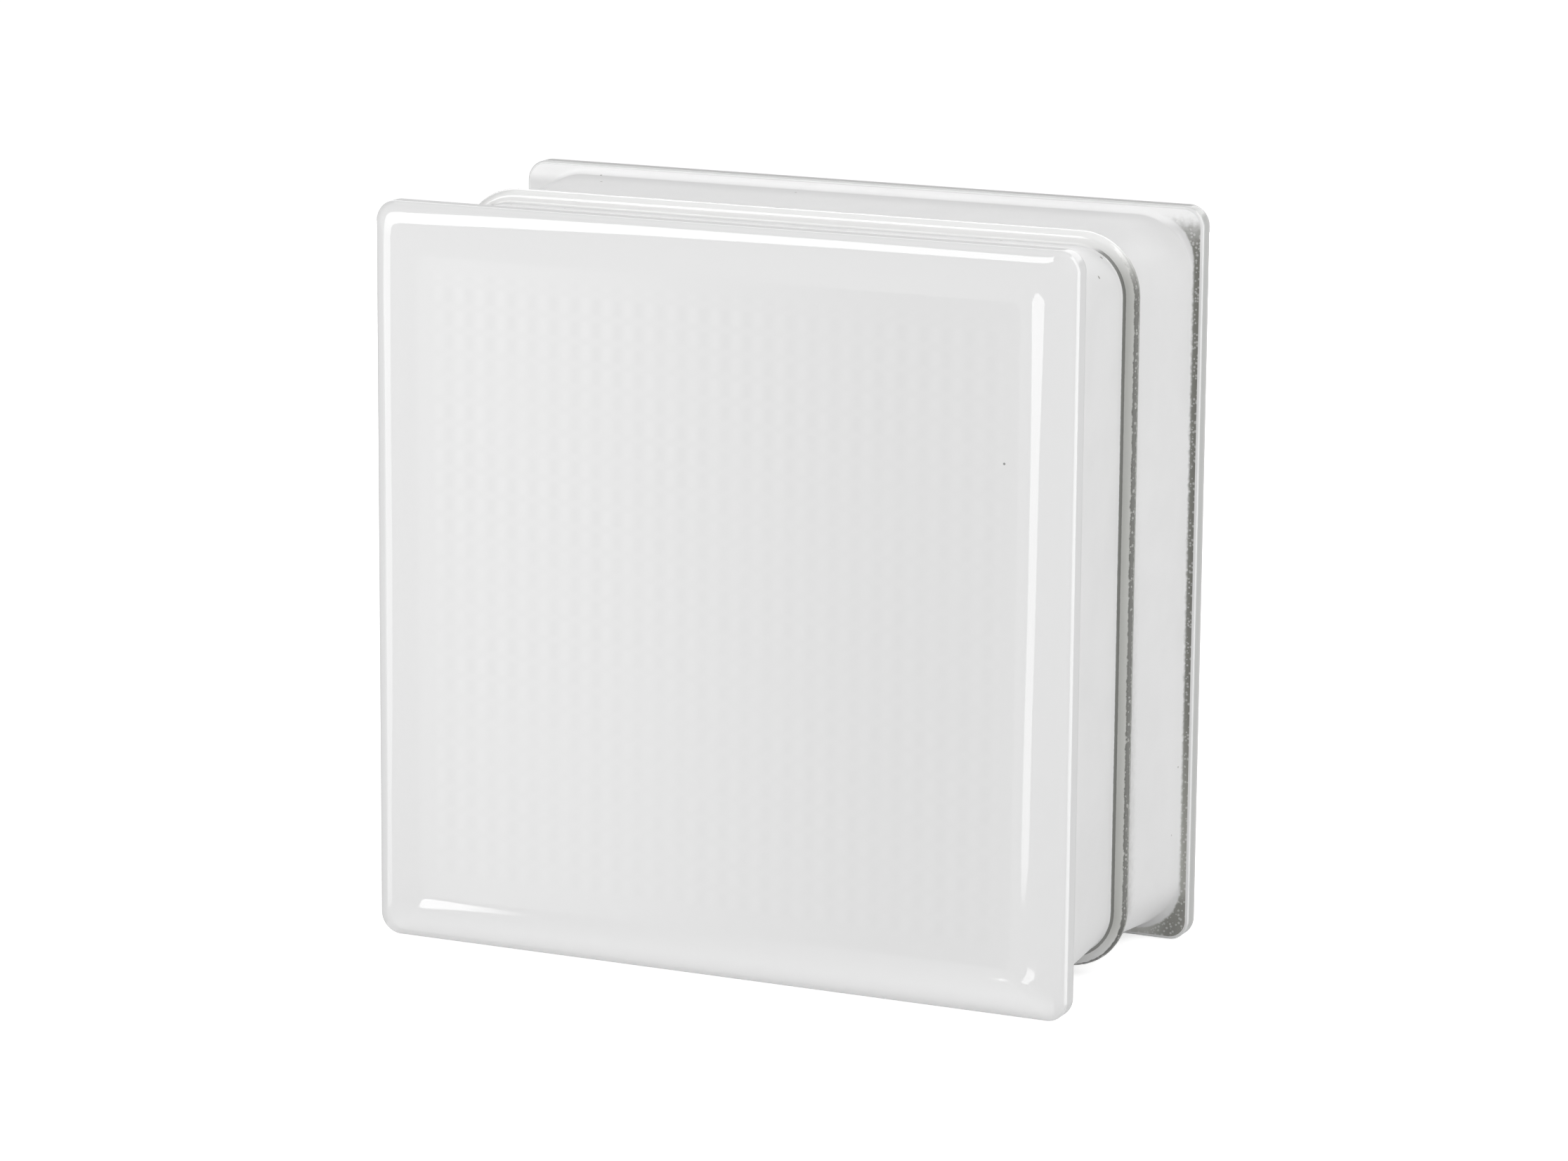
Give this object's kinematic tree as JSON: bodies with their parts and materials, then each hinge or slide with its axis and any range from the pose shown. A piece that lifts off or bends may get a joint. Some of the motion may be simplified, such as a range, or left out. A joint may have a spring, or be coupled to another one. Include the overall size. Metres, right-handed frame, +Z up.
{
  "type": "glass block",
  "caption": "Square hollow glass wall block with pillowed overhanging faces, tapered side walls recessed for mortar and a raised fused seam at mid depth.",
  "frame": {"origin": "middle of the level plane that the lower flange edges stand on, midway between the two faces", "axes": "+X to the right seen from the front, +Y from the front face to the rear face, +Z up"},
  "size_m": [0.19, 0.095, 0.19],
  "materials": {
    "glass": "gloss"
  },
  "bodies": {
    "root": {"glass_block": "glass"}
  },
  "joints": []
}
